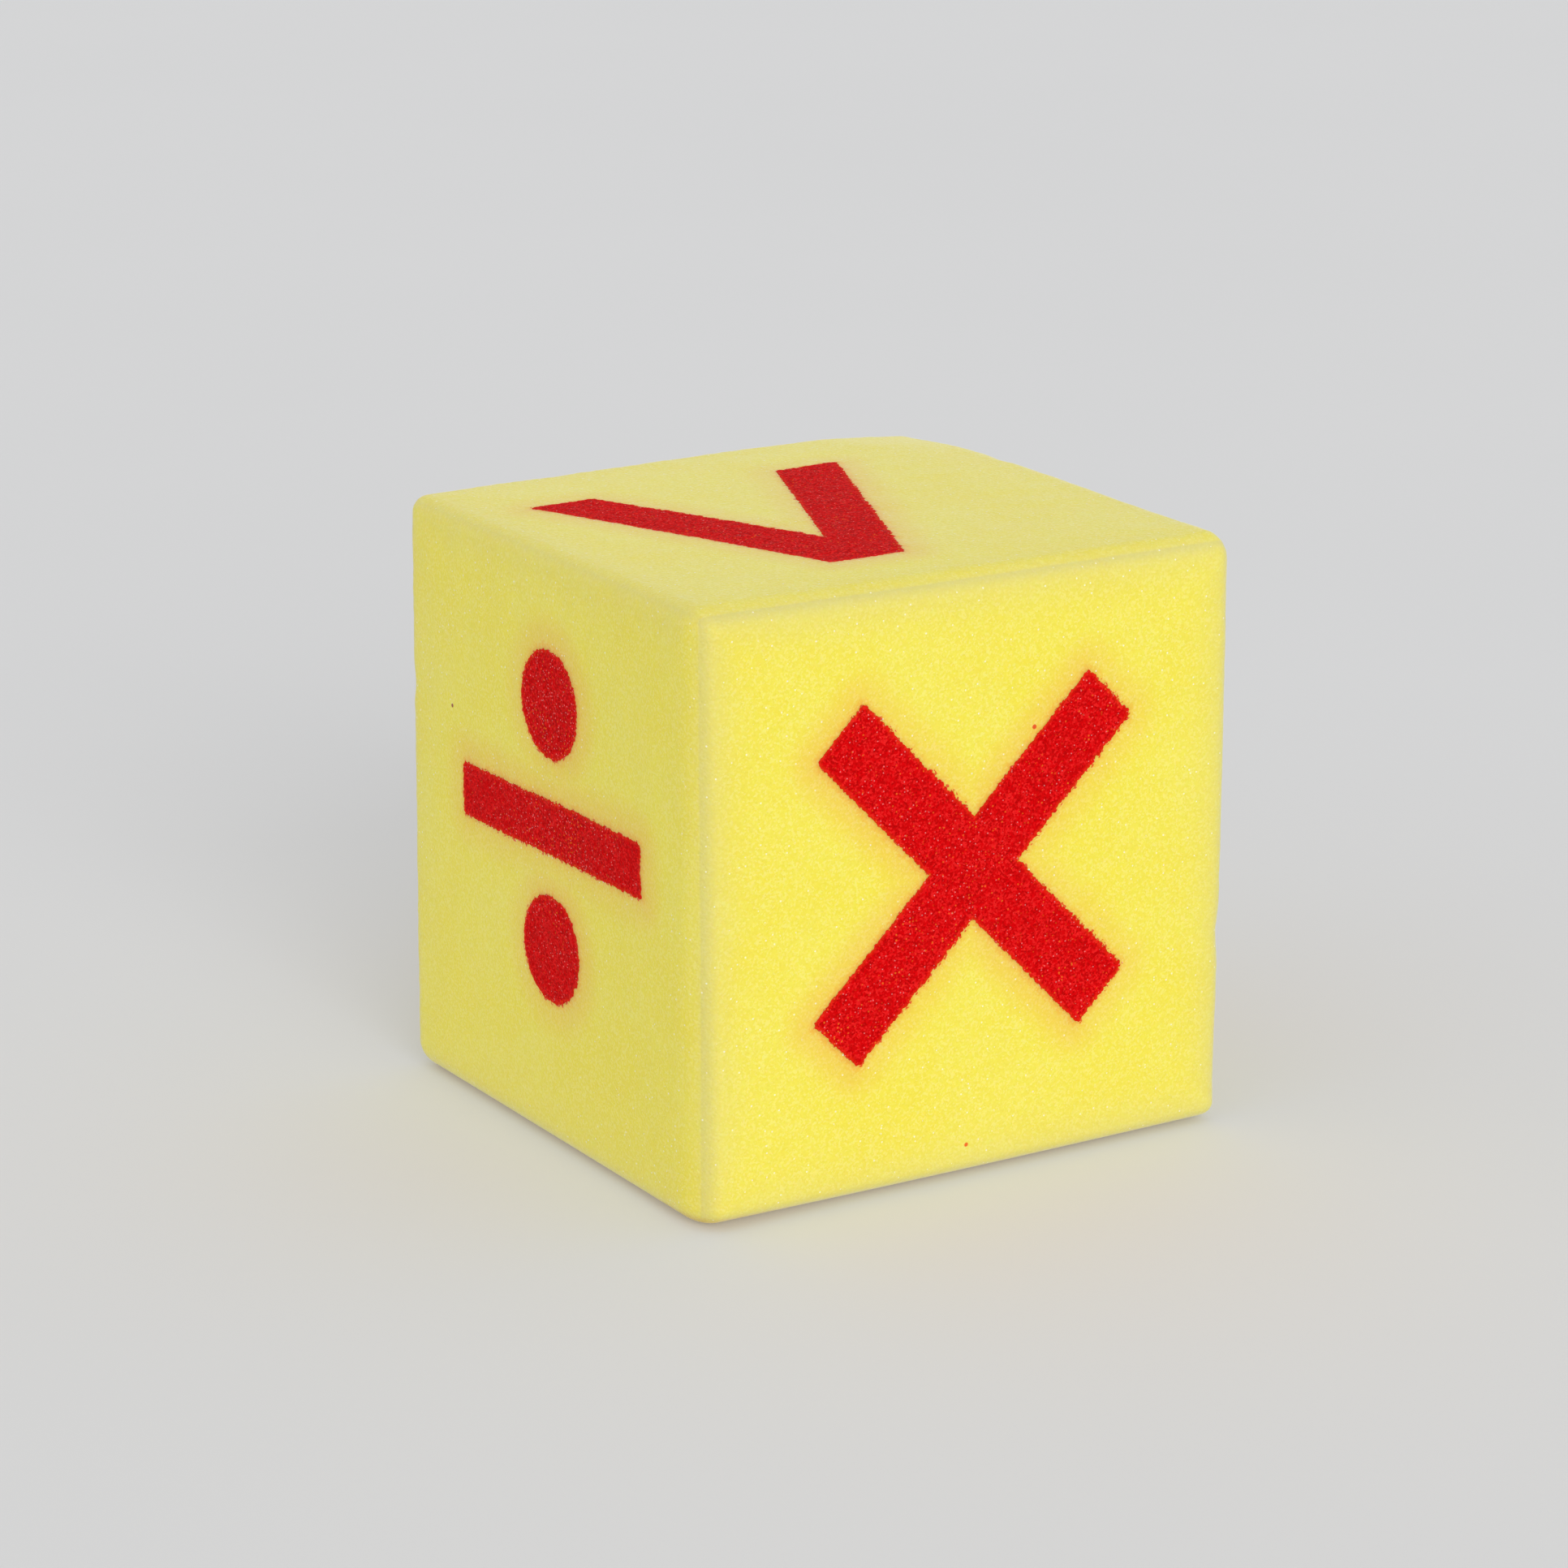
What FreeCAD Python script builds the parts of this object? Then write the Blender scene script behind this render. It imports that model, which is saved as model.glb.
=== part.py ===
import FreeCAD, Part
import os

# A giant soft foam die with a maths sign on each face.
# Millimetres, +Z up. The origin is the middle of the bottom face, on the surface the die rests on.
# The multiply sign is on the -Y face, the divide sign on -X and the less-than sign on top.
# The faces turned away carry plus on +X, minus on +Y and equals underneath.
# Each sign is a red foam inlay, flush in a die-cut pocket of the yellow block, on a film of glue.

# The block
WIDTH_X = 160.0
DEPTH_Y = 154.0
HEIGHT_Z = 160.0
EDGE_ROUND = 8.0

# How deep a sign goes, and the glue under it
POCKET_DEPTH = 15.0
GLUE_THICKNESS = 0.4
GLUE_MARGIN = 0.5
SIGN_CORNER_ROUND = 1.2

# The strokes of the signs
WIDE_STROKE = 19.0
NARROW_STROKE = 14.5
MULTIPLY_ARM_LENGTH = 114.5
MULTIPLY_TURN = 44.2
PLUS_ARM_LENGTH = 95.0
MINUS_LENGTH = 95.0
DIVIDE_BAR_LENGTH = 92.0
DIVIDE_BAR_TURN = 0.8
DIVIDE_DOT_DIAMETER = 28.6
DIVIDE_DOT_PITCH = 65.5
EQUALS_BAR_LENGTH = 92.0
EQUALS_BAR_PITCH = 33.0

# The less-than sign is drawn as a V: two arms that meet in a flat tip a little left of the middle
LESS_THAN_SPAN = 95.0
LESS_THAN_HEIGHT = 92.5
LESS_THAN_TIP_WIDTH = 21.5
LESS_THAN_TIP_PLACE = -1.3
LESS_THAN_NOTCH_HEIGHT = 22.5

# Where the middle of each sign lies on its face, to the right and up as seen from outside
MULTIPLY_PLACE = (-0.5, 3.6)
DIVIDE_PLACE = (2.0, 7.3)
LESS_THAN_PLACE = (-14.0, -4.3)
PLUS_PLACE = (0.0, 5.0)
MINUS_PLACE = (0.0, 5.0)
EQUALS_PLACE = (0.0, 0.0)

X = FreeCAD.Vector(1, 0, 0)
Y = FreeCAD.Vector(0, 1, 0)
Z = FreeCAD.Vector(0, 0, 1)
MIDDLE = Z * (HEIGHT_Z / 2)


# Outlines, drawn flat in a plane whose X is right and whose Y is up on the face

def polygon(points):
    corners = [FreeCAD.Vector(right, up, 0) for right, up in points]
    return Part.Face(Part.makePolygon(corners + corners[:1]))


def bar(length, width, turn=0.0):
    """A straight stroke about the origin, turned from the face's right-hand direction."""
    half, side = length / 2, width / 2
    flat = polygon([(-half, -side), (half, -side), (half, side), (-half, side)])
    flat.rotate(FreeCAD.Vector(0, 0, 0), Z, turn)
    return flat


def shifted(flat, right, up):
    moved = flat.copy()
    moved.translate(FreeCAD.Vector(right, up, 0))
    return moved


def disc(diameter):
    return Part.Face(Part.Wire(Part.makeCircle(diameter / 2)))


def cross(arm_length, width, turn):
    """Two strokes at right angles, in one piece."""
    joined = bar(arm_length, width, turn).fuse(bar(arm_length, width, turn + 90))
    return joined.removeSplitter().Faces[0]


def chevron():
    """The V of the less-than sign, tip down, with flat ends and a flat tip."""
    half_span = LESS_THAN_SPAN / 2
    half_tip = LESS_THAN_TIP_WIDTH / 2
    top = LESS_THAN_HEIGHT / 2
    inner = half_span - WIDE_STROKE
    return polygon([
        (-half_span, top),
        (LESS_THAN_TIP_PLACE - half_tip, -top),
        (LESS_THAN_TIP_PLACE + half_tip, -top),
        (half_span, top),
        (inner, top),
        (0, -top + LESS_THAN_NOTCH_HEIGHT),
        (-inner, top),
    ])


def rounded(flat):
    """The outline as the cutting die makes it, with its outer corners a little round."""
    return flat.makeOffset2D(-SIGN_CORNER_ROUND).makeOffset2D(SIGN_CORNER_ROUND)


# Faces of the block: the middle of the face, then right, up and outwards as seen from outside

FACES = {
    "front": (MIDDLE - Y * (DEPTH_Y / 2), X, Z),
    "left": (MIDDLE - X * (WIDTH_X / 2), -Y, Z),
    "top": (MIDDLE + Z * (HEIGHT_Z / 2), X, Y),
    "right": (MIDDLE + X * (WIDTH_X / 2), Y, Z),
    "back": (MIDDLE + Y * (DEPTH_Y / 2), -X, Z),
    "bottom": (MIDDLE - Z * (HEIGHT_Z / 2), X, -Y),
}


def sunk(flat, face, start, depth):
    """A prism of the outline below a face of the block, from the depth start down by depth."""
    middle, right, up = FACES[face]
    out = right.cross(up)
    block = flat.extrude(FreeCAD.Vector(0, 0, -depth))
    block.translate(FreeCAD.Vector(0, 0, -start))
    turned = FreeCAD.Placement(middle, FreeCAD.Rotation(right, up, out, "ZXY"))
    block.Placement = turned.multiply(block.Placement)
    return block


# Each sign piece: its name, its face and its outline at its place on that face

def cut_at(place, flat):
    return shifted(rounded(flat), *place)


def divide_dot(rise):
    right, up = DIVIDE_PLACE
    return shifted(disc(DIVIDE_DOT_DIAMETER), right, up + rise)


def equals_bar(rise):
    right, up = EQUALS_PLACE
    return cut_at((right, up + rise), bar(EQUALS_BAR_LENGTH, NARROW_STROKE))


SIGNS = [
    ("multiply", "front", cut_at(MULTIPLY_PLACE, cross(MULTIPLY_ARM_LENGTH, WIDE_STROKE, MULTIPLY_TURN))),
    ("divide_bar", "left", cut_at(DIVIDE_PLACE, bar(DIVIDE_BAR_LENGTH, NARROW_STROKE, DIVIDE_BAR_TURN))),
    ("divide_upper_dot", "left", divide_dot(DIVIDE_DOT_PITCH / 2)),
    ("divide_lower_dot", "left", divide_dot(-DIVIDE_DOT_PITCH / 2)),
    ("less_than", "top", cut_at(LESS_THAN_PLACE, chevron())),
    ("plus", "right", cut_at(PLUS_PLACE, cross(PLUS_ARM_LENGTH, WIDE_STROKE, 0))),
    ("minus", "back", cut_at(MINUS_PLACE, bar(MINUS_LENGTH, WIDE_STROKE))),
    ("equals_upper_bar", "bottom", equals_bar(EQUALS_BAR_PITCH / 2)),
    ("equals_lower_bar", "bottom", equals_bar(-EQUALS_BAR_PITCH / 2)),
]


def foam_block():
    corner = FreeCAD.Vector(-WIDTH_X / 2, -DEPTH_Y / 2, 0)
    block = Part.makeBox(WIDTH_X, DEPTH_Y, HEIGHT_Z, corner)
    return block.makeFillet(EDGE_ROUND, block.Edges)


def inlay(flat, face):
    return sunk(flat, face, 0, POCKET_DEPTH - GLUE_THICKNESS)


def glue_film(flat, face):
    """The film on the pocket's floor. It stops short of the pocket's walls."""
    return sunk(flat.makeOffset2D(-GLUE_MARGIN), face, POCKET_DEPTH - GLUE_THICKNESS, GLUE_THICKNESS)


def one_solid(name, shape):
    """The single valid solid in a shape."""
    solids = shape.Solids
    assert len(solids) == 1 and solids[0].isValid(), name
    return solids[0]


pieces = {}
block = foam_block()
for name, face, flat in SIGNS:
    block = block.cut(sunk(flat, face, 0, POCKET_DEPTH))
    pieces[name + "_inlay"] = inlay(flat, face)
    pieces[name + "_glue_film"] = glue_film(flat, face)
pieces["foam_cube"] = block

os.makedirs("parts", exist_ok=True)
for name, shape in sorted(pieces.items()):
    solid = one_solid(name, shape)
    solid.exportStep("parts/" + name + ".step")
    box = solid.BoundBox
    print(f"{name}: {solid.Volume:.1f} mm3, X {box.XMin:.1f} to {box.XMax:.1f}, "
          f"Y {box.YMin:.1f} to {box.YMax:.1f}, Z {box.ZMin:.1f} to {box.ZMax:.1f}")
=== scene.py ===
import math

import bpy
import numpy as np
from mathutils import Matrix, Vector, geometry, kdtree


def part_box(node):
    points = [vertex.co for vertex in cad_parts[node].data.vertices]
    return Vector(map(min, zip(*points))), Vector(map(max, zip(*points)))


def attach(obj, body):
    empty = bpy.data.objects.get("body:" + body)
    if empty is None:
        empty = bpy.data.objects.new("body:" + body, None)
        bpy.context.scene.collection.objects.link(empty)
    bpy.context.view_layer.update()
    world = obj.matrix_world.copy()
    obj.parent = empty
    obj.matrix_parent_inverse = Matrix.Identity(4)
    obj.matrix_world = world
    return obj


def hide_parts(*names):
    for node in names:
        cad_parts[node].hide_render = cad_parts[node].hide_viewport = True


# A giant foam die: a yellow block of open-cell foam with red foam signs let into its faces.
# Each sign's outline is read from its CAD inlay and made ragged at the size of the foam's cells.
# Lengths are metres unless a name ends in MM. Directions on a face are right and up, from outside.

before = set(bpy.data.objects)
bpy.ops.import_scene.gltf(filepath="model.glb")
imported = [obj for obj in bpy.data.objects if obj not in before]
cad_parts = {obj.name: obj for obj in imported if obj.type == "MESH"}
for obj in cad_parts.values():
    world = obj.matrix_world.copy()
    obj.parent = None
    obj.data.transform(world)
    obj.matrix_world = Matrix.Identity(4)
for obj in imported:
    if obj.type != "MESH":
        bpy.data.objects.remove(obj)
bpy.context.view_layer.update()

MM = 0.001

# The block's form, in millimetres. Each corner is named by its side along X, Y and Z. Given are how far
# its rounding reaches along X, Y and Z, then how far the corner stands off from a true box.
CORNERS = {
    (-1, -1, 1): ((5.0, 9.0, 5.5), (0.0, 0.0, 0.0)),
    (-1, -1, -1): ((7.0, 14.0, 6.5), (0.0, 0.0, 0.0)),
    (1, -1, 1): ((6.0, 7.0, 7.5), (0.0, 0.0, 0.0)),
    (1, -1, -1): ((4.0, 4.5, 4.0), (-1.0, 1.0, 1.5)),
    (-1, 1, 1): ((4.0, 4.0, 4.5), (1.5, -1.0, -1.5)),
    (-1, 1, -1): ((8.0, 8.0, 8.0), (-0.5, 0.5, 0.0)),
    (1, 1, 1): ((10.0, 10.0, 7.0), (0.0, 0.0, 0.0)),
    (1, 1, -1): ((10.0, 10.0, 7.0), (0.0, 0.0, 0.0)),
}
CROWN, CROWN_SHARE, CROWN_REACH = 0.5 * MM, 0.6, 26 * MM
# Painted shade and sheen along the edges: how far it fades in from an edge, how blunt it is at the edge, and its
# strength on edges that face up
EDGE_FADE, EDGE_BLUNT, RIDGE_SHADE = 4.5 * MM, 1.6 * MM, 0.72
LONG_WAVE, LONG_WAVE_HEIGHT = 110 * MM, 0.22 * MM
LUMP, LUMP_HEIGHT = 14 * MM, 0.05 * MM
NIBBLE, NIBBLE_HEIGHT = 3.6 * MM, 0.04 * MM
FOOT = 12 * MM
FOOT_SHADE, FOOT_SHADE_CORNER = 2.0 * MM, 2.6 * MM

# The foam's cells, and how they show in the red pieces
CELL = 0.95 * MM
CELL_JITTER = 0.75
PORE_DEPTH = 0.14 * MM
GRAIN_HEIGHT = 0.09 * MM
RAGGED, RAGGED_SIDE = 0.35 * MM, 0.3
INLAY_GAP = 0.02 * MM

# Spacing of the mesh points
COARSE = 2.0 * MM
EDGE_STEP, EDGE_BAND = 1.15 * MM, 9 * MM
MEDIUM = 0.72 * MM
FINE = 0.37 * MM
OUTLINE_STEP = 0.30 * MM
MEDIUM_BAND = 2.6 * MM

# The camera, about the middle of the block
CAMERA_AZIMUTH, CAMERA_ELEVATION = -32.08, 16.85
CAMERA_DISTANCE = 1.360
CAMERA_LENS_MM, SENSOR_MM = 118.5, 36.0
AIM_RIGHT, AIM_UP = -7.4 * MM, 5.6 * MM

low, high = (np.array(corner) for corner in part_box("foam_cube"))
MIDDLE = (low + high) / 2
HALF = (high - low) / 2

X, Y, Z = np.eye(3)


# Repeatable variation

def smooth(value, start, end):
    """0 before start, 1 after end, and a smooth step between them."""
    t = np.clip((value - start) / (end - start), 0, 1)
    return t * t * (3 - 2 * t)


def wobble(points, wavelength, seed, waves=14):
    """A smooth random field of about -1 to 1: the sum of plane waves in random directions."""
    rng = np.random.RandomState(seed)
    total = np.zeros(len(points))
    for _ in range(waves):
        direction = rng.normal(size=3)
        direction *= 2 * math.pi / (np.linalg.norm(direction) * wavelength * rng.uniform(0.7, 1.5))
        total += np.sin(points @ direction + rng.uniform(0, 2 * math.pi))
    return total / math.sqrt(waves)


def lattice_random(across, along, salt):
    """A repeatable number from 0 to 1 for each square of a lattice."""
    mixed = across.astype(np.uint64) * np.uint64(374761393)
    mixed += along.astype(np.uint64) * np.uint64(668265263) + np.uint64(salt * 974711)
    mixed ^= mixed >> np.uint64(13)
    mixed *= np.uint64(1274126177)
    mixed ^= mixed >> np.uint64(16)
    return (mixed & np.uint64(0xFFFF)).astype(float) / 0xFFFF


def cells(flat, salt):
    """For points in a face's plane: distance to the nearest foam cell's centre, in cells, and that
    cell's own random number."""
    scaled = flat / CELL + 4096
    square = np.floor(scaled).astype(np.int64)
    nearest = np.full(len(flat), 9.0)
    number = np.zeros(len(flat))
    for step_across in (-1, 0, 1):
        for step_along in (-1, 0, 1):
            across, along = square[:, 0] + step_across, square[:, 1] + step_along
            centre = np.stack([
                across + 0.5 + CELL_JITTER * (lattice_random(across, along, salt) - 0.5),
                along + 0.5 + CELL_JITTER * (lattice_random(across, along, salt + 1) - 0.5),
            ], axis=1)
            distance = np.linalg.norm(scaled - centre, axis=1)
            closer = distance < nearest
            nearest = np.where(closer, distance, nearest)
            number = np.where(closer, lattice_random(across, along, salt + 2), number)
    return nearest, number


# The block's six faces

class Face:
    def __init__(self, name, right, up, inlays, salt, bleed, edge_shade):
        self.name, self.right, self.up, self.inlays, self.salt = name, right, up, inlays, salt
        self.edge_shade = edge_shade
        self.bleed = np.array(bleed)
        self.out = np.cross(right, up)
        self.half_right = abs(HALF @ right)
        self.half_up = abs(HALF @ up)
        self.middle = MIDDLE + self.out * abs(HALF @ self.out)

    def flat(self, points):
        """Points in space, as distances right and up from the face's middle."""
        return np.stack([(points - self.middle) @ self.right, (points - self.middle) @ self.up], axis=1)

    def space(self, flat, depth=0.0):
        return self.middle + np.outer(flat[:, 0], self.right) + np.outer(flat[:, 1], self.up) - self.out * depth


# Each face: name, right and up directions, inlays, random seed, the side of its signs where the orange tint around
# them is strongest, and the strength of the painted shade and sheen along its edges
FACES = [
    Face("front", X, Z, ["multiply_inlay"], 11, (-1.0, -0.1), 1.15),
    Face("left", -Y, Z, ["divide_upper_dot_inlay", "divide_bar_inlay", "divide_lower_dot_inlay"], 23,
         (0.9, 0.4), 0.55),
    Face("top", X, Y, ["less_than_inlay"], 37, (0.1, -0.9), 0.5),
    Face("right", Y, Z, ["plus_inlay"], 41, (-0.7, 0.7), 0.8),
    Face("back", -X, Z, ["minus_inlay"], 53, (0.9, 0.4), 0.8),
    Face("bottom", X, -Y, ["equals_upper_bar_inlay", "equals_lower_bar_inlay"], 67, (0.5, -0.85), 0.8),
]


# The signs' outlines

def cad_outline(node, face):
    """The corners of a CAD inlay's outer end in the face's plane, in order, anticlockwise."""
    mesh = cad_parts[node].data
    points = np.array([v.co for v in mesh.vertices])
    on_face = np.abs((points - face.middle) @ face.out) < 0.01 * MM
    flat = np.round(face.flat(points), 7)
    edges = {}
    for polygon in mesh.polygons:
        if all(on_face[i] for i in polygon.vertices):
            corners = [tuple(flat[i]) for i in polygon.vertices]
            for start, end in zip(corners, corners[1:] + corners[:1]):
                if edges.get(end) and start in edges[end]:
                    edges[end].remove(start)
                else:
                    edges.setdefault(start, set()).add(end)
    start = here = next(corner for corner in edges if edges[corner])
    loop = []
    while True:
        loop.append(here)
        here = edges[here].pop()
        if here == start:
            return np.array(loop)


def inside(flat, loop, following=None):
    """Which points are inside a closed loop, or inside the edges from loop to following."""
    result = np.zeros(len(flat), bool)
    if following is None:
        following = np.roll(loop, -1, axis=0)
    rise = following[:, 1] - loop[:, 1]
    rise = np.where(rise == 0, 1e-12, rise)
    for block in range(0, len(flat), 4000):
        part = flat[block:block + 4000]
        crosses = (loop[:, 1] > part[:, 1:2]) != (following[:, 1] > part[:, 1:2])
        place = loop[:, 0] + (part[:, 1:2] - loop[:, 1]) * (following[:, 0] - loop[:, 0]) / rise
        result[block:block + 4000] = (crosses & (part[:, 0:1] < place)).sum(axis=1) % 2 == 1
    return result


def stepped(loop, step):
    """A loop with a point at least every step."""
    points = []
    for start, end in zip(loop, np.roll(loop, -1, axis=0)):
        count = max(1, round(np.linalg.norm(end - start) / step))
        points += [start + (end - start) * i / count for i in range(count)]
    return np.array(points)


def outward(loop):
    """The direction out of a loop at each of its points."""
    along = np.roll(loop, -2, axis=0) - np.roll(loop, 2, axis=0)
    result = np.stack([along[:, 1], -along[:, 0]], axis=1)
    return result / np.linalg.norm(result, axis=1)[:, None]


def inner_corners(loop):
    """Which of an anticlockwise loop's corners turn clockwise."""
    before, after = loop - np.roll(loop, 1, axis=0), np.roll(loop, -1, axis=0) - loop
    turn = before[:, 0] * after[:, 1] - before[:, 1] * after[:, 0]
    return turn < -0.3 * np.linalg.norm(before, axis=1) * np.linalg.norm(after, axis=1)


def ragged(loop, salt):
    """The outline as cut foam shows it: whole cells stand out or are missing along it, and more so
    along its right-hand sides, where the cutter left the foam."""
    points = stepped(loop, OUTLINE_STEP)
    outwards = outward(points)
    distance, number = cells(points, salt)
    shift = RAGGED * (1 + RAGGED_SIDE * outwards[:, 0])
    shift *= 1.6 * (0.5 - distance) + 1.5 * (number - 0.5)
    for corner in loop[inner_corners(loop)]:
        shift *= smooth(np.linalg.norm(points - corner, axis=1), 0.2 * MM, 1.8 * MM)
    return points + outwards * shift[:, None]


def near_tree(points):
    tree = kdtree.KDTree(len(points))
    for i, point in enumerate(points):
        tree.insert((point[0], point[1], 0), i)
    tree.balance()
    return tree


def distance_to(tree, flat):
    return np.array([tree.find((point[0], point[1], 0))[2] for point in flat])


def nearest_in(tree, flat):
    return np.array([tree.find((point[0], point[1], 0))[1] for point in flat])


# One triangulated sheet for each face

def lattice(low_corner, high_corner, spacing, rng):
    """Points in staggered rows, each moved a little, so that no rows show."""
    rows = np.arange(low_corner[1], high_corner[1], spacing * math.sqrt(3) / 2)
    points = []
    for i, height in enumerate(rows):
        across = np.arange(low_corner[0] + (i % 2) * spacing / 2, high_corner[0], spacing)
        points.append(np.stack([across, np.full(len(across), height)], axis=1))
    points = np.concatenate(points)
    return points + rng.uniform(-0.2, 0.2, points.shape) * spacing


def facing_up(flat, triangles):
    """The triangles with their corners in anticlockwise order."""
    a, b, c = (flat[triangles[:, i]] for i in range(3))
    clockwise = (b - a)[:, 0] * (c - a)[:, 1] < (b - a)[:, 1] * (c - a)[:, 0]
    triangles[clockwise] = triangles[clockwise][:, ::-1]
    return triangles


def rim_points(face):
    """Evenly spaced points along the face's four sides, the same from both faces that share one."""
    def row(half):
        return np.linspace(-half, half, round(2 * half / EDGE_STEP) + 1)
    across, along = row(face.half_right), row(face.half_up)
    sides = [np.stack([across, np.full(len(across), s * face.half_up)], axis=1) for s in (-1, 1)]
    sides += [np.stack([np.full(len(along) - 2, s * face.half_right), along[1:-1]], axis=1) for s in (-1, 1)]
    return np.concatenate(sides)


def face_sheet(face):
    """Triangulates a face with its signs' ragged outlines as edges. Returns the points, the triangles,
    each triangle's region (0 for the block, or 1 and up for the inlays), each point's distance from the
    nearest outline, and how far it lies on the side of that outline where the orange tint is strongest, from 0 to 1."""
    rng = np.random.RandomState(face.salt)
    outlines = [cad_outline(node, face) for node in face.inlays]
    loops = [ragged(outline, face.salt) for outline in outlines]
    tree = near_tree(np.concatenate(loops))
    corner = np.array([face.half_right, face.half_up])

    points = [rim_points(face)]
    for spacing, in_band in ((COARSE, False), (EDGE_STEP, True)):
        spread = lattice(-corner + spacing, corner - 0.7 * spacing, spacing, rng)
        spread = spread[((corner - np.abs(spread)).min(axis=1) < EDGE_BAND) == in_band]
        spread = spread[distance_to(tree, spread) > MEDIUM_BAND]
        points.append(spread[~np.any([inside(spread, outline) for outline in outlines], axis=0)])
    for outline in outlines:
        around = lattice(outline.min(0) - MEDIUM_BAND, outline.max(0) + MEDIUM_BAND, MEDIUM, rng)
        gap = distance_to(tree, around)
        points.append(around[(gap > 0.6 * MEDIUM) & (gap <= MEDIUM_BAND) & ~inside(around, outline)])
        within = lattice(outline.min(0), outline.max(0), FINE, rng)
        within = within[inside(within, outline)]
        points.append(within[distance_to(tree, within) > 0.6 * FINE])

    edges = []
    count = sum(len(p) for p in points)
    for loop in loops:
        edges += [(count + i, count + (i + 1) % len(loop)) for i in range(len(loop))]
        points.append(loop)
        count += len(loop)
    made = geometry.delaunay_2d_cdt([Vector(p) for p in np.concatenate(points)], edges, [], 0, 1e-7, False)
    flat = np.array([tuple(p) for p in made[0]])
    triangles = np.array(made[2])
    triangles = facing_up(flat, triangles)

    centroid = flat[triangles].mean(axis=1)
    region = np.zeros(len(triangles), int)
    for number, loop in enumerate(loops, 1):
        reach = (centroid > loop.min(0)).all(axis=1) & (centroid < loop.max(0)).all(axis=1)
        found = np.where(reach)[0]
        region[found[inside(centroid[found], loop)]] = number
    side = np.concatenate([outward(loop) for loop in loops])[nearest_in(tree, flat)] @ face.bleed
    return flat, triangles, region, distance_to(tree, flat), smooth(side, -0.8, 0.9)


def boundary(triangles):
    """The directed edges that only one triangle has."""
    count = int(triangles.max()) + 1
    starts = triangles.ravel()
    ends = np.roll(triangles, -1, axis=1).ravel()
    forward = starts * count + ends
    alone = ~np.isin(forward, ends * count + starts)
    return np.stack([starts[alone], ends[alone]], axis=1)


# From the sharp block to the soft one

DENTS = [
    # corner or edge point as shares of the half sizes, how far it reaches, how deep it is
    ((-1, 1, 0.36), 6 * MM, 0.9 * MM),
    ((-1, 1, -0.62), 5 * MM, 1.1 * MM),
    ((1, -1, -0.35), 9 * MM, 0.6 * MM),
    ((1, 1, 0.15), 7 * MM, 0.9 * MM),
    ((1, 0.3, 1), 9 * MM, 0.7 * MM),
    ((-0.45, 1, 1), 7 * MM, 0.7 * MM),
    ((1, 1, 1), 38 * MM, 2.2 * MM),
    ((-1, -1, -1), 9 * MM, 1.0 * MM),
]


def formed(points):
    """Moves points of the sharp block's surface onto the soft block. Returns them with the outward
    directions there, and how near the edge each one is, from 0 on a face to 1 on the edge."""
    share = np.clip((points - low) / (high - low), 0, 1)
    radius = np.zeros((len(points), 3))
    shift = np.zeros((len(points), 3))
    for corner, (reaches, moved) in CORNERS.items():
        weight = np.where(np.array(corner) > 0, share, 1 - share).prod(axis=1)
        radius += np.outer(weight, reaches) * MM
        shift += np.outer(weight ** 2, moved) * MM
    inner = np.clip(points, MIDDLE - HALF + radius, MIDDLE + HALF - radius)
    away = (points - inner) / radius
    away /= np.linalg.norm(away, axis=1)[:, None]
    outwards = away / radius
    outwards /= np.linalg.norm(outwards, axis=1)[:, None]
    to_edge = np.sort(HALF - np.abs(points - MIDDLE), axis=1)[:, 1]
    raised = (
        LONG_WAVE_HEIGHT * wobble(points, LONG_WAVE, 1)
        + LUMP_HEIGHT * wobble(points, LUMP, 2)
        + NIBBLE_HEIGHT * wobble(points, NIBBLE, 3)
        + CROWN * (smooth(to_edge, 0, CROWN_REACH) - 1 + CROWN_SHARE)
    )
    for place, reach, depth in DENTS:
        gap = np.linalg.norm(points - (MIDDLE + HALF * np.array(place)), axis=1)
        raised -= depth * (1 - smooth(gap, 0, reach))
    standing = smooth(points[:, 2], low[2], low[2] + FOOT)
    result = inner + away * radius + shift + outwards * (raised * standing)[:, None]
    result[:, 2] = np.maximum(result[:, 2], low[2])
    return result, outwards, np.exp(-np.hypot(to_edge, EDGE_BLUNT) / EDGE_FADE)


def new_piece(name, points, triangles, attributes):
    """A closed mesh object with one number for each point under each attribute's name."""
    mesh = bpy.data.meshes.new(name)
    mesh.from_pydata(points.tolist(), [], triangles.tolist())
    for label, values in attributes.items():
        mesh.attributes.new(label, "FLOAT", "POINT").data.foreach_set("value", values.astype(np.float32))
    mesh.polygons.foreach_set("use_smooth", [True] * len(mesh.polygons))
    mesh.set_sharp_from_angle(angle=math.radians(70))
    mesh.validate()
    piece = bpy.data.objects.new(name, mesh)
    bpy.context.scene.collection.objects.link(piece)
    return piece


def closing(flat, edges):
    """Triangles that fill the loops that directed edges make, with no new points."""
    used = np.unique(edges)
    index = np.full(used.max() + 1, -1)
    index[used] = np.arange(len(used))
    made = geometry.delaunay_2d_cdt([Vector(p) for p in flat[used]], index[edges].tolist(), [], 1, 0.0, True)
    source = [ids[0] for ids in made[3]]
    triangles = used[np.array([[source[i] for i in t] for t in made[2]])]
    triangles = triangles[inside(flat[triangles].mean(axis=1), flat[edges[:, 0]], flat[edges[:, 1]])]
    return facing_up(flat, triangles)


def pocket_depth(node, face):
    """From the face to the far side of the glue under an inlay."""
    ends = [(np.array(corner) - face.middle) @ face.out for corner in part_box(node.replace("_inlay", "_glue_film"))]
    return -min(ends)


def inlay_depth(node, face):
    return -min((np.array(corner) - face.middle) @ face.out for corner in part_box(node))


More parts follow.
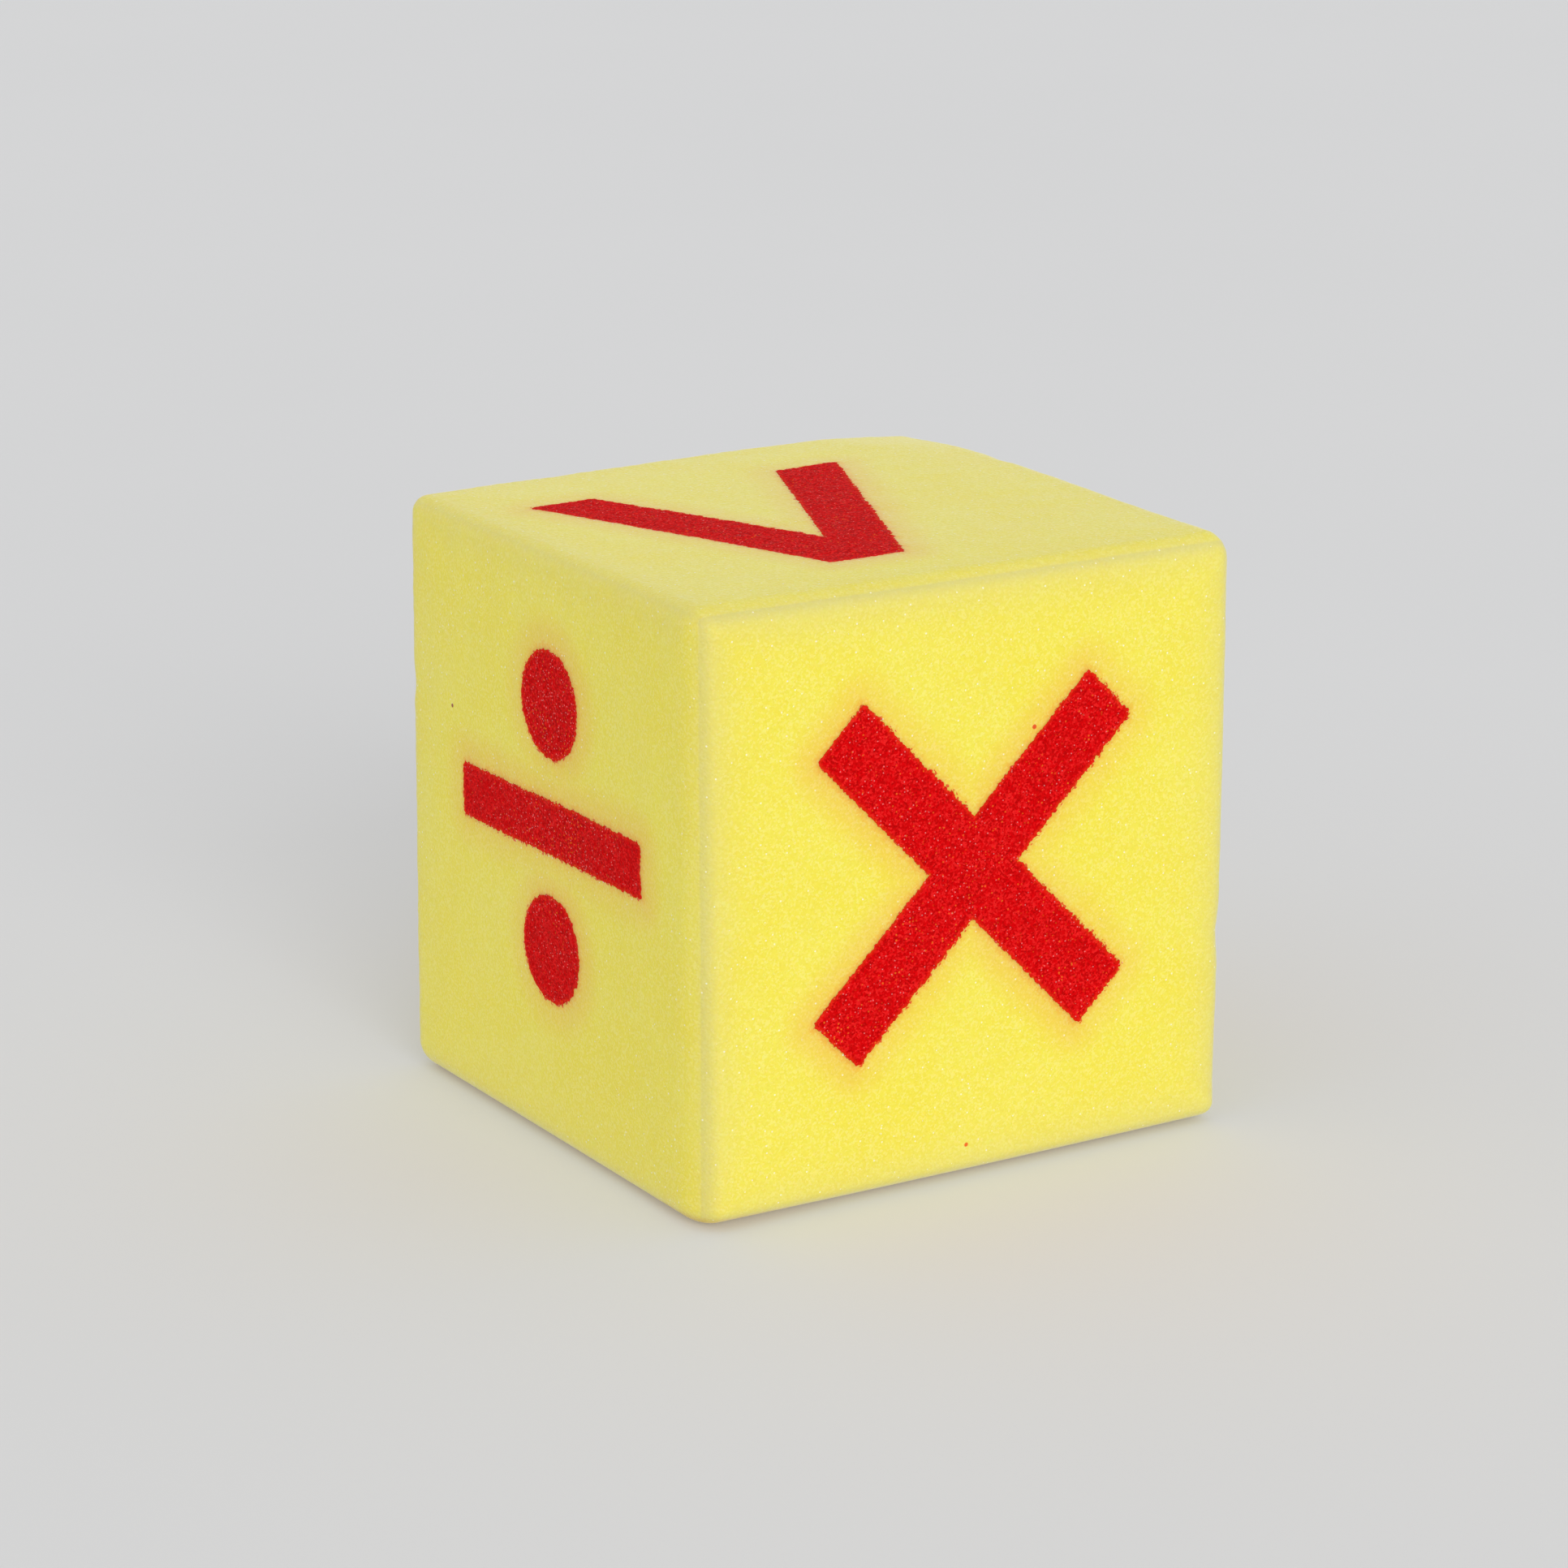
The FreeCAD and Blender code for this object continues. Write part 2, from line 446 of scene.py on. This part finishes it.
class Builder:
    """Collects points and triangles for one mesh, and joins points that were given the same key."""

    def __init__(self):
        self.points, self.triangles, self.values, self.count = [], [], {}, 0

    def add(self, points, **values):
        self.points.append(points)
        for label, numbers in values.items():
            self.values.setdefault(label, []).append(numbers)
        first = self.count
        self.count += len(points)
        return np.arange(first, self.count)

    def face(self, triangles):
        self.triangles.append(triangles)

    def piece(self, name, keys=None):
        points = np.concatenate(self.points)
        triangles = np.concatenate(self.triangles)
        values = {label: np.concatenate(parts) for label, parts in self.values.items()}
        if keys is not None:
            _, first, back = np.unique(keys, axis=0, return_index=True, return_inverse=True)
            points, triangles = points[first], back.reshape(-1)[triangles]
            values = {label: numbers[first] for label, numbers in values.items()}
        return new_piece(name, points, triangles, values)


def wall(edges, top, bottom):
    """Two triangles between each directed edge's top and bottom points."""
    a, b = edges[:, 0], edges[:, 1]
    return np.concatenate([
        np.stack([top[b], top[a], bottom[a]], axis=1),
        np.stack([top[b], bottom[a], bottom[b]], axis=1),
    ])


def make_inlay(node, face, sheet, number):
    """A red foam inlay: a grainy cap, cut sides and a flat underside."""
    flat, triangles, region, gap, _ = sheet
    mine = triangles[region == number]
    used = np.unique(mine)
    back = np.full(len(flat), -1)
    back[used] = np.arange(len(used))
    mine, spread, gap = back[mine], flat[used], gap[used]
    edges = boundary(mine)
    rim = np.unique(edges)

    inwards = np.zeros_like(spread)
    centroid = spread[mine].mean(axis=1)
    for corner in range(3):
        np.add.at(inwards, mine[:, corner], centroid - spread[mine[:, corner]])
    inwards /= np.linalg.norm(inwards, axis=1)[:, None] + 1e-12
    drawn_in = spread.copy()
    drawn_in[rim] += inwards[rim] * INLAY_GAP

    base, outwards, _ = formed(face.space(drawn_in))
    distance, own = cells(drawn_in, face.salt)
    relief = -PORE_DEPTH * (1 - smooth(distance, 0.1, 0.55)) + GRAIN_HEIGHT * (own - 0.35)
    relief = 0.08 * MM + relief * smooth(gap, 0, 0.7 * MM)
    cap = base + outwards * relief[:, None]
    cap[:, 2] = np.maximum(cap[:, 2], low[2])

    builder = Builder()
    # The pore attribute places the painted shade in the pores
    top = builder.add(cap, pore=1 - smooth(distance, 0.1, 0.6), rim=1 - smooth(gap, 0, 1.2 * MM), own=own)
    depth = inlay_depth(node, face)
    size = len(rim)
    under = builder.add(face.space(drawn_in[rim], depth), pore=np.zeros(size), rim=np.ones(size), own=np.zeros(size))
    bottom = np.full(len(spread), -1)
    bottom[rim] = under
    builder.face(top[mine])
    builder.face(wall(edges, top, bottom))
    builder.face(bottom[closing(drawn_in, edges)][:, ::-1])
    piece = builder.piece(node.replace("_inlay", "_sign"))
    return piece


def foot_shade(points):
    """How much of the shaded underside shows at the foot of the block: most at the near bottom corner."""
    corner = MIDDLE + HALF * (-1, -1, -1)
    reach = FOOT_SHADE + FOOT_SHADE_CORNER * (1 - smooth(np.linalg.norm(points - corner, axis=1), 0, 48 * MM))
    return 1 - smooth((points[:, 2] - low[2]) / reach, 0.35, 1.0)


def make_block(sheets):
    """The yellow block: six outer sheets joined along the edges, with a pocket under each sign."""
    builder = Builder()
    keys = []
    for face, (flat, triangles, region, gap, bleed) in zip(FACES, sheets):
        mine = triangles[region == 0]
        used = np.unique(mine)
        back = np.full(len(flat), -1)
        back[used] = np.arange(len(used))
        sharp = face.space(flat[used])
        soft, outwards, nearness = formed(sharp)
        # Painted shade and sheen at the edges: the face's own strength, blending to the edges' strength, which is
        # more on edges that face up
        ridge_shade = RIDGE_SHADE * (0.5 + 0.5 * smooth(outwards[:, 2], 0, 0.5))
        edge_shade = face.edge_shade + (ridge_shade - face.edge_shade) * nearness ** 2
        top = builder.add(soft, edge=nearness * edge_shade, gap=np.minimum(gap[used], 20 * MM) / MM, bleed=bleed[used],
                          foot=foot_shade(soft))
        keys.append(np.round(sharp / (0.01 * MM)).astype(np.int64))
        builder.face(top[back[mine]])
        for number, node in enumerate(face.inlays, 1):
            own = triangles[region == number]
            edges = boundary(own)
            rim = np.unique(edges)
            floor_points = face.space(flat[rim], pocket_depth(node, face))
            nothing = np.zeros(len(rim))
            floor = builder.add(floor_points, edge=nothing, gap=nothing, bleed=nothing, foot=nothing)
            keys.append(np.round(floor_points / (0.01 * MM)).astype(np.int64))
            ceiling, bottom = np.full(len(flat), -1), np.full(len(flat), -1)
            ceiling[rim] = top[back[rim]]
            bottom[rim] = floor
            builder.face(wall(edges[:, ::-1], ceiling, bottom))
            builder.face(bottom[closing(flat, edges)])
    return builder.piece("foam_block", np.concatenate(keys))


# Materials

class Nodes:
    """Short calls for building one material."""

    def __init__(self, name):
        self.material = bpy.data.materials.new(name)
        self.material.use_nodes = True
        self.tree = self.material.node_tree
        self.shader = next(n for n in self.tree.nodes if n.type == "BSDF_PRINCIPLED")
        self.place = self.add("ShaderNodeTexCoord").outputs["Object"]

    def add(self, kind, **settings):
        node = self.tree.nodes.new(kind)
        for label, value in settings.items():
            setattr(node, label, value)
        return node

    def plug(self, socket, value):
        if isinstance(value, bpy.types.NodeSocket):
            self.tree.links.new(value, socket)
        else:
            socket.default_value = value

    def math(self, operation, a, b=0.0, clamp=False):
        node = self.add("ShaderNodeMath", operation=operation, use_clamp=clamp)
        self.plug(node.inputs[0], a)
        self.plug(node.inputs[1], b)
        return node.outputs[0]

    def ramp(self, value, start, end, low_value=0.0, high_value=1.0):
        node = self.add("ShaderNodeMapRange", interpolation_type="SMOOTHSTEP")
        for label, number in (("From Min", start), ("From Max", end), ("To Min", low_value), ("To Max", high_value)):
            node.inputs[label].default_value = number
        self.plug(node.inputs["Value"], value)
        return node.outputs["Result"]

    def noise(self, size, detail=3.0, roughness=0.55):
        node = self.add("ShaderNodeTexNoise")
        self.plug(node.inputs["Vector"], self.place)
        node.inputs["Scale"].default_value = 1 / size
        node.inputs["Detail"].default_value = detail
        node.inputs["Roughness"].default_value = roughness
        return node.outputs["Fac"]

    def cells(self, size, feature="F1"):
        """A Voronoi pattern: its distance and its random colour."""
        node = self.add("ShaderNodeTexVoronoi", feature=feature)
        self.plug(node.inputs["Vector"], self.place)
        node.inputs["Scale"].default_value = 1 / size
        return node.outputs["Distance"], node.outputs.get("Color")

    def split(self, colour):
        node = self.add("ShaderNodeSeparateColor")
        self.plug(node.inputs[0], colour)
        return node.outputs

    def mix(self, share, first, second):
        node = self.add("ShaderNodeMix", data_type="RGBA")
        self.plug(node.inputs["Factor"], share)
        for socket, value in ((node.inputs[6], first), (node.inputs[7], second)):
            self.plug(socket, value if isinstance(value, bpy.types.NodeSocket) else (*value, 1))
        return node.outputs[2]

    def attribute(self, name):
        return self.add("ShaderNodeAttribute", attribute_name=name).outputs["Fac"]

    def specks(self, size, share, radius):
        """Round specks in a few of the cells of a pattern: 1 in a speck, 0 outside."""
        distance, colour = self.cells(size)
        chosen = self.math("LESS_THAN", self.split(colour)[0], share)
        return self.math("MULTIPLY", chosen, self.ramp(distance, radius, radius * 0.6))

    def bump(self, height, distance, strength=1.0, under=None):
        node = self.add("ShaderNodeBump")
        node.inputs["Strength"].default_value = strength
        node.inputs["Distance"].default_value = distance
        self.plug(node.inputs["Height"], height)
        if under is not None:
            self.plug(node.inputs["Normal"], under)
        return node.outputs["Normal"]


def set_shader(shader, **values):
    for label, value in values.items():
        shader.inputs[label.replace("_", " ").title().replace("Ior", "IOR")].default_value = value


FLECKS = [
    # stray crumbs of red foam: where on the block as shares of the half sizes, how big, what colour
    ((-0.02, -1, -0.88), 0.40 * MM, (0.85, 0.16, 0.02)),
    ((0.22, -1, 0.47), 0.42 * MM, (0.80, 0.10, 0.02)),
    ((-1, 0.65, 0.34), 0.36 * MM, (0.30, 0.06, 0.02)),
]


def yellow_foam():
    m = Nodes("yellow_foam")
    pores, _ = m.cells(CELL)
    _, grain_colour = m.cells(0.52 * MM)
    own = m.split(grain_colour)[0]
    cloud = m.noise(22 * MM)
    grain = m.noise(1.3 * MM, 2.0)
    colour = m.mix(m.ramp(cloud, 0.3, 0.7), (0.900, 0.778, 0.075), (0.900, 0.798, 0.100))
    colour = m.mix(m.ramp(own, 0.45, 1.0, 0.0, 0.50), colour, (0.96, 0.87, 0.28))
    colour = m.mix(m.ramp(own, 0.50, 0.0, 0.0, 0.24), colour, (0.82, 0.70, 0.045))
    # Painted shade in the pores: darker towards each cell's centre
    colour = m.mix(m.ramp(pores, 0.35, 0.0, 0.0, 0.25), colour, (0.88, 0.71, 0.030))
    # Painted shade and sheen: darker and paler towards the edges
    colour = m.mix(m.attribute("edge"), colour, (0.66, 0.605, 0.275))
    # An orange tint around the signs, broad and near their outlines, stronger on one side of each; red crumbs also
    # gather on that side
    gap, bleed = m.attribute("gap"), m.attribute("bleed")
    share = m.math("ADD", m.math("MULTIPLY", bleed, 0.42), 0.78)
    broad = m.math("MULTIPLY", m.ramp(gap, 12.0, 0.0, 0.0, 0.29), share)
    colour = m.mix(broad, colour, (0.86, 0.34, 0.09))
    ragged_gap = m.math("ADD", gap, m.ramp(own, 0.0, 1.0, -0.4, 0.4))
    near = m.math("MULTIPLY", m.ramp(ragged_gap, 2.4, 0.0, 0.0, 0.40), share)
    colour = m.mix(near, colour, (0.95, 0.32, 0.04))
    _, crumb_colour = m.cells(0.75 * MM)
    crumb = m.math("ADD", gap, m.ramp(m.split(crumb_colour)[1], 0.5, 1.0, 0.1, -0.9))
    crumb = m.math("ADD", crumb, m.math("MULTIPLY", bleed, 0.5))
    colour = m.mix(m.ramp(crumb, 0.05, -0.15, 0.0, 0.85), colour, (0.80, 0.04, 0.01))
    # Painted shade: the golden underside at the foot
    colour = m.mix(m.math("MULTIPLY", m.attribute("foot"), 0.95), colour, (0.66, 0.44, 0.01))
    # Painted highlights: near-white glints in a few cells
    colour = m.mix(m.math("MULTIPLY", m.specks(2.0 * MM, 0.40, 0.15), 0.65), colour, (1.0, 0.99, 0.90))
    for place, radius, tint in FLECKS:
        node = m.add("ShaderNodeVectorMath", operation="DISTANCE")
        m.plug(node.inputs[0], m.place)
        node.inputs[1].default_value = MIDDLE + HALF * place
        colour = m.mix(m.ramp(node.outputs["Value"], radius * 1.8, radius * 1.2), colour, tint)
    m.plug(m.shader.inputs["Base Color"], colour)
    normal = m.bump(m.ramp(pores, 0.0, 0.6), 0.16 * MM, 0.50)
    m.plug(m.shader.inputs["Normal"], m.bump(grain, 0.25 * MM, 0.20, normal))
    m.plug(m.shader.inputs["Roughness"], m.ramp(grain, 0.3, 0.7, 0.82, 0.97))
    set_shader(m.shader, subsurface_weight=0.50, subsurface_scale=0.0025, specular_ior_level=0.20,
               sheen_weight=0.50, sheen_roughness=0.38)
    m.shader.inputs["Subsurface Radius"].default_value = (1.0, 0.75, 0.18)
    m.shader.inputs["Sheen Tint"].default_value = (1.0, 0.98, 0.90, 1)
    return m.material


def red_foam():
    m = Nodes("red_foam")
    pore = m.attribute("pore")
    own = m.attribute("own")
    rim = m.attribute("rim")
    fine, fine_colour = m.cells(0.50 * MM)
    fine_own = m.split(fine_colour)[0]
    cloud = m.noise(9 * MM)
    colour = m.mix(m.ramp(own, 0.0, 1.0), (0.67, 0.0, 0.001), (0.74, 0.0, 0.002))
    # Painted shade in the pores: darker towards each cell's centre
    colour = m.mix(m.math("MULTIPLY", pore, 0.22), colour, (0.36, 0.0, 0.0))
    colour = m.mix(m.ramp(fine_own, 0.50, 0.0, 0.0, 0.60), colour, (0.38, 0.0, 0.0))
    colour = m.mix(m.ramp(fine_own, 0.50, 1.0, 0.0, 0.70), colour, (0.93, 0.020, 0.020))
    colour = m.mix(m.math("MULTIPLY", rim, 0.50), colour, (0.88, 0.04, 0.005))
    strewn = m.math("MAXIMUM", m.ramp(cloud, 0.42, 0.62, 0.15, 1.0), rim)
    orange = m.math("MULTIPLY", m.specks(1.0 * MM, 0.27, 0.32), strewn)
    colour = m.mix(m.math("MULTIPLY", orange, 0.65), colour, (0.92, 0.20, 0.02))
    # Painted highlights: pink glints in a few cells
    colour = m.mix(m.math("MULTIPLY", m.specks(0.90 * MM, 0.26, 0.26), 0.45), colour, (0.96, 0.42, 0.42))
    m.plug(m.shader.inputs["Base Color"], colour)
    m.plug(m.shader.inputs["Normal"], m.bump(m.ramp(fine, 0.0, 0.6), 0.20 * MM, 0.6))
    m.plug(m.shader.inputs["Roughness"], m.ramp(own, 0.0, 1.0, 0.55, 0.85))
    set_shader(m.shader, subsurface_weight=0.10, subsurface_scale=0.0015, specular_ior_level=0.04,
               sheen_weight=0.02, sheen_roughness=0.4)
    m.shader.inputs["Subsurface Radius"].default_value = (1.0, 0.15, 0.12)
    m.shader.inputs["Sheen Tint"].default_value = (1.0, 0.80, 0.80, 1)
    return m.material


def glue():
    m = Nodes("glue_film")
    strands = m.noise(1.1 * MM, 4.0, 0.7)
    colour = m.mix(m.ramp(strands, 0.35, 0.65), (0.72, 0.70, 0.60), (0.90, 0.88, 0.82))
    m.plug(m.shader.inputs["Base Color"], colour)
    m.plug(m.shader.inputs["Normal"], m.bump(strands, 0.15 * MM, 0.6))
    m.plug(m.shader.inputs["Roughness"], m.ramp(strands, 0.3, 0.7, 0.35, 0.7))
    return m.material


# The studio

def aimed(thing, place, target):
    thing.location = place
    thing.rotation_euler = (Vector(target) - Vector(place)).to_track_quat("-Z", "Y").to_euler()


def direction(azimuth, elevation):
    """From the middle of the block outwards. Azimuth 0 is towards -Y and 90 towards +X."""
    a, e = math.radians(azimuth), math.radians(elevation)
    return np.array([math.sin(a) * math.cos(e), -math.cos(a) * math.cos(e), math.sin(e)])


def sun_light(name, azimuth, elevation, softness, strength, colour=(1, 1, 1)):
    """Light from far away, so that the floor is evenly lit. Softness is the source's width in degrees."""
    light = bpy.data.lights.new(name, "SUN")
    light.angle, light.energy, light.color = math.radians(softness), strength, colour
    thing = bpy.data.objects.new(name, light)
    bpy.context.scene.collection.objects.link(thing)
    aimed(thing, MIDDLE + direction(azimuth, elevation), MIDDLE)


def studio():
    mesh = bpy.data.meshes.new("studio_floor")
    size = 12.0
    mesh.from_pydata([(-size, -size, 0), (size, -size, 0), (size, size, 0), (-size, size, 0)], [], [(0, 1, 2, 3)])
    floor = bpy.data.objects.new("studio_floor", mesh)
    bpy.context.scene.collection.objects.link(floor)
    m = Nodes("studio_floor")
    m.plug(m.shader.inputs["Base Color"], m.mix(m.noise(0.35), (0.610, 0.613, 0.620), (0.630, 0.633, 0.640)))
    set_shader(m.shader, roughness=0.9, specular_ior_level=0.1, emission_strength=0.165)
    m.shader.inputs["Emission Color"].default_value = (1, 1, 1, 1)
    mesh.materials.append(m.material)

    world = bpy.data.worlds.new("studio")
    bpy.context.scene.world = world
    world.use_nodes = True
    background = world.node_tree.nodes["Background"]
    background.inputs["Color"].default_value = (1, 1, 1, 1)
    background.inputs["Strength"].default_value = 0.64

    sun_light("key_light", -12, 20, 36, 1.32)
    sun_light("left_fill", -80, 16, 60, 0.15)


def camera():
    data = bpy.data.cameras.new("camera")
    data.lens, data.sensor_width = CAMERA_LENS_MM, SENSOR_MM
    thing = bpy.data.objects.new("camera", data)
    bpy.context.scene.collection.objects.link(thing)
    back = direction(CAMERA_AZIMUTH, CAMERA_ELEVATION)
    right = np.cross(-back, Z)
    right /= np.linalg.norm(right)
    up = np.cross(right, -back)
    aimed(thing, MIDDLE + back * CAMERA_DISTANCE, MIDDLE + right * AIM_RIGHT + up * AIM_UP)
    bpy.context.scene.camera = thing


# The die

camera()
studio()
yellow, red, film = yellow_foam(), red_foam(), glue()
sheets = [face_sheet(face) for face in FACES]

block = make_block(sheets)
block.data.materials.append(yellow)
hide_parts("foam_cube")
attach(block, "root")

for face, sheet in zip(FACES, sheets):
    for number, node in enumerate(face.inlays, 1):
        sign = make_inlay(node, face, sheet, number)
        sign.data.materials.append(red)
        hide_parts(node)
        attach(sign, "root")

for name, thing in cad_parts.items():
    if name.endswith("_glue_film"):
        for slot in thing.material_slots:
            slot.material = film

bpy.context.scene.view_settings.view_transform = "Standard"
